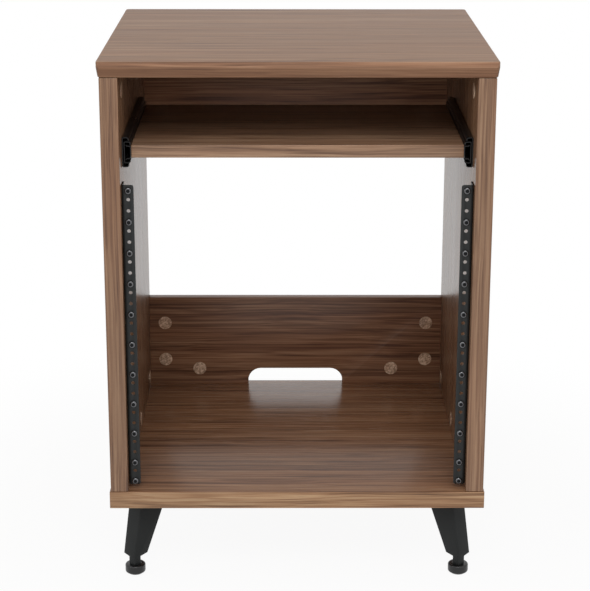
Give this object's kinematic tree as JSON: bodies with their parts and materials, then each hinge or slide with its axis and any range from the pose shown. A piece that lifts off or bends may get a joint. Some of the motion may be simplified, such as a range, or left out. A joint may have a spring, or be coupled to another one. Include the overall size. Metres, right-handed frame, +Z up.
{
  "type": "studio rack",
  "caption": "Laminate studio rack cabinet with an open rack bay between hole rails, a pull-out shelf on ball slides, open back and splayed sheet-steel legs with levelling feet",
  "frame": {"origin": "on the floor, under the middle of the top board", "axes": "+Z up, -Y towards the open front, +X to the right seen from the front"},
  "size_m": [0.541, 0.5, 0.7666],
  "materials": {
    "walnut_laminate": "satin wood-grain laminate",
    "cam_cover": "matt wood-coloured cap",
    "beech_dowel": "raw beech",
    "slide_steel": "glossy black coat",
    "cage_steel": "bright steel",
    "rail_steel": "satin black powder coat",
    "leg_steel": "matt black powder coat",
    "bush_steel": "zinc-plated steel",
    "foot_plastic": "matt black plastic"
  },
  "bodies": {
    "cabinet": {"top_panel": "walnut_laminate", "bottom_panel": "walnut_laminate", "left_side_panel": "walnut_laminate", "right_side_panel": "walnut_laminate", "lower_back_panel": "walnut_laminate", "upper_back_panel": "walnut_laminate", "left_top_front_cam": "cam_cover", "left_top_back_cam": "cam_cover", "left_bottom_front_cam": "cam_cover", "left_bottom_middle_cam": "cam_cover", "left_bottom_back_cam": "cam_cover", "lower_back_left_low_cam": "cam_cover", "upper_back_left_low_cam": "cam_cover", "lower_back_left_high_cam": "cam_cover", "upper_back_left_high_cam": "cam_cover", "lower_back_left_floor_cam": "cam_cover", "right_top_front_cam": "cam_cover", "right_top_back_cam": "cam_cover", "right_bottom_front_cam": "cam_cover", "right_bottom_middle_cam": "cam_cover", "right_bottom_back_cam": "cam_cover", "lower_back_right_low_cam": "cam_cover", "upper_back_right_low_cam": "cam_cover", "lower_back_right_high_cam": "cam_cover", "upper_back_right_high_cam": "cam_cover", "lower_back_right_floor_cam": "cam_cover", "left_top_front_dowel": "beech_dowel", "left_top_back_dowel": "beech_dowel", "left_bottom_front_dowel": "beech_dowel", "left_bottom_back_dowel": "beech_dowel", "right_top_front_dowel": "beech_dowel", "right_top_back_dowel": "beech_dowel", "right_bottom_front_dowel": "beech_dowel", "right_bottom_back_dowel": "beech_dowel", "left_rack_rail": "rail_steel", "right_rack_rail": "rail_steel", "left_slide_cabinet_member": "slide_steel", "right_slide_cabinet_member": "slide_steel", "front_left_leg": "leg_steel", "front_right_leg": "leg_steel", "back_left_leg": "leg_steel", "back_right_leg": "leg_steel", "front_left_leg_bush": "bush_steel", "front_right_leg_bush": "bush_steel", "back_left_leg_bush": "bush_steel", "back_right_leg_bush": "bush_steel"},
    "shelf": {"pull_out_shelf": "walnut_laminate", "left_slide_shelf_member": "slide_steel", "right_slide_shelf_member": "slide_steel"},
    "left_middle": {"left_slide_middle_member": "slide_steel"},
    "left_outer_cage": {"left_slide_outer_cage": "cage_steel"},
    "left_inner_cage": {"left_slide_inner_cage": "cage_steel"},
    "right_middle": {"right_slide_middle_member": "slide_steel"},
    "right_outer_cage": {"right_slide_outer_cage": "cage_steel"},
    "right_inner_cage": {"right_slide_inner_cage": "cage_steel"},
    "front_left_foot": {"front_left_levelling_foot": "foot_plastic"},
    "front_right_foot": {"front_right_levelling_foot": "foot_plastic"},
    "back_left_foot": {"back_left_levelling_foot": "foot_plastic"},
    "back_right_foot": {"back_right_levelling_foot": "foot_plastic"}
  },
  "joints": [
    {"name": "shelf_slide", "type": "slide", "parent": "cabinet", "child": "shelf", "axis": [0, -1, 0], "range_m": [0, 0.3]},
    {"name": "left_middle_slide", "type": "slide", "parent": "cabinet", "child": "left_middle", "axis": [0, -1, 0], "range_m": [0, 0.15]},
    {"name": "left_outer_cage_slide", "type": "slide", "parent": "cabinet", "child": "left_outer_cage", "axis": [0, -1, 0], "range_m": [0, 0.075]},
    {"name": "left_inner_cage_slide", "type": "slide", "parent": "cabinet", "child": "left_inner_cage", "axis": [0, -1, 0], "range_m": [0, 0.225]},
    {"name": "right_middle_slide", "type": "slide", "parent": "cabinet", "child": "right_middle", "axis": [0, -1, 0], "range_m": [0, 0.15]},
    {"name": "right_outer_cage_slide", "type": "slide", "parent": "cabinet", "child": "right_outer_cage", "axis": [0, -1, 0], "range_m": [0, 0.075]},
    {"name": "right_inner_cage_slide", "type": "slide", "parent": "cabinet", "child": "right_inner_cage", "axis": [0, -1, 0], "range_m": [0, 0.225]},
    {"name": "front_left_foot_screw", "type": "slide", "parent": "cabinet", "child": "front_left_foot", "axis": [0, 0, -1], "range_m": [0, 0.01]},
    {"name": "front_right_foot_screw", "type": "slide", "parent": "cabinet", "child": "front_right_foot", "axis": [0, 0, -1], "range_m": [0, 0.01]},
    {"name": "back_left_foot_screw", "type": "slide", "parent": "cabinet", "child": "back_left_foot", "axis": [0, 0, -1], "range_m": [0, 0.01]},
    {"name": "back_right_foot_screw", "type": "slide", "parent": "cabinet", "child": "back_right_foot", "axis": [0, 0, -1], "range_m": [0, 0.01]}
  ],
  "couplings": [
    {"joint": "left_middle_slide", "follows": "shelf_slide", "ratio": 0.5},
    {"joint": "left_outer_cage_slide", "follows": "shelf_slide", "ratio": 0.25},
    {"joint": "left_inner_cage_slide", "follows": "shelf_slide", "ratio": 0.75},
    {"joint": "right_middle_slide", "follows": "shelf_slide", "ratio": 0.5},
    {"joint": "right_outer_cage_slide", "follows": "shelf_slide", "ratio": 0.25},
    {"joint": "right_inner_cage_slide", "follows": "shelf_slide", "ratio": 0.75}
  ]
}
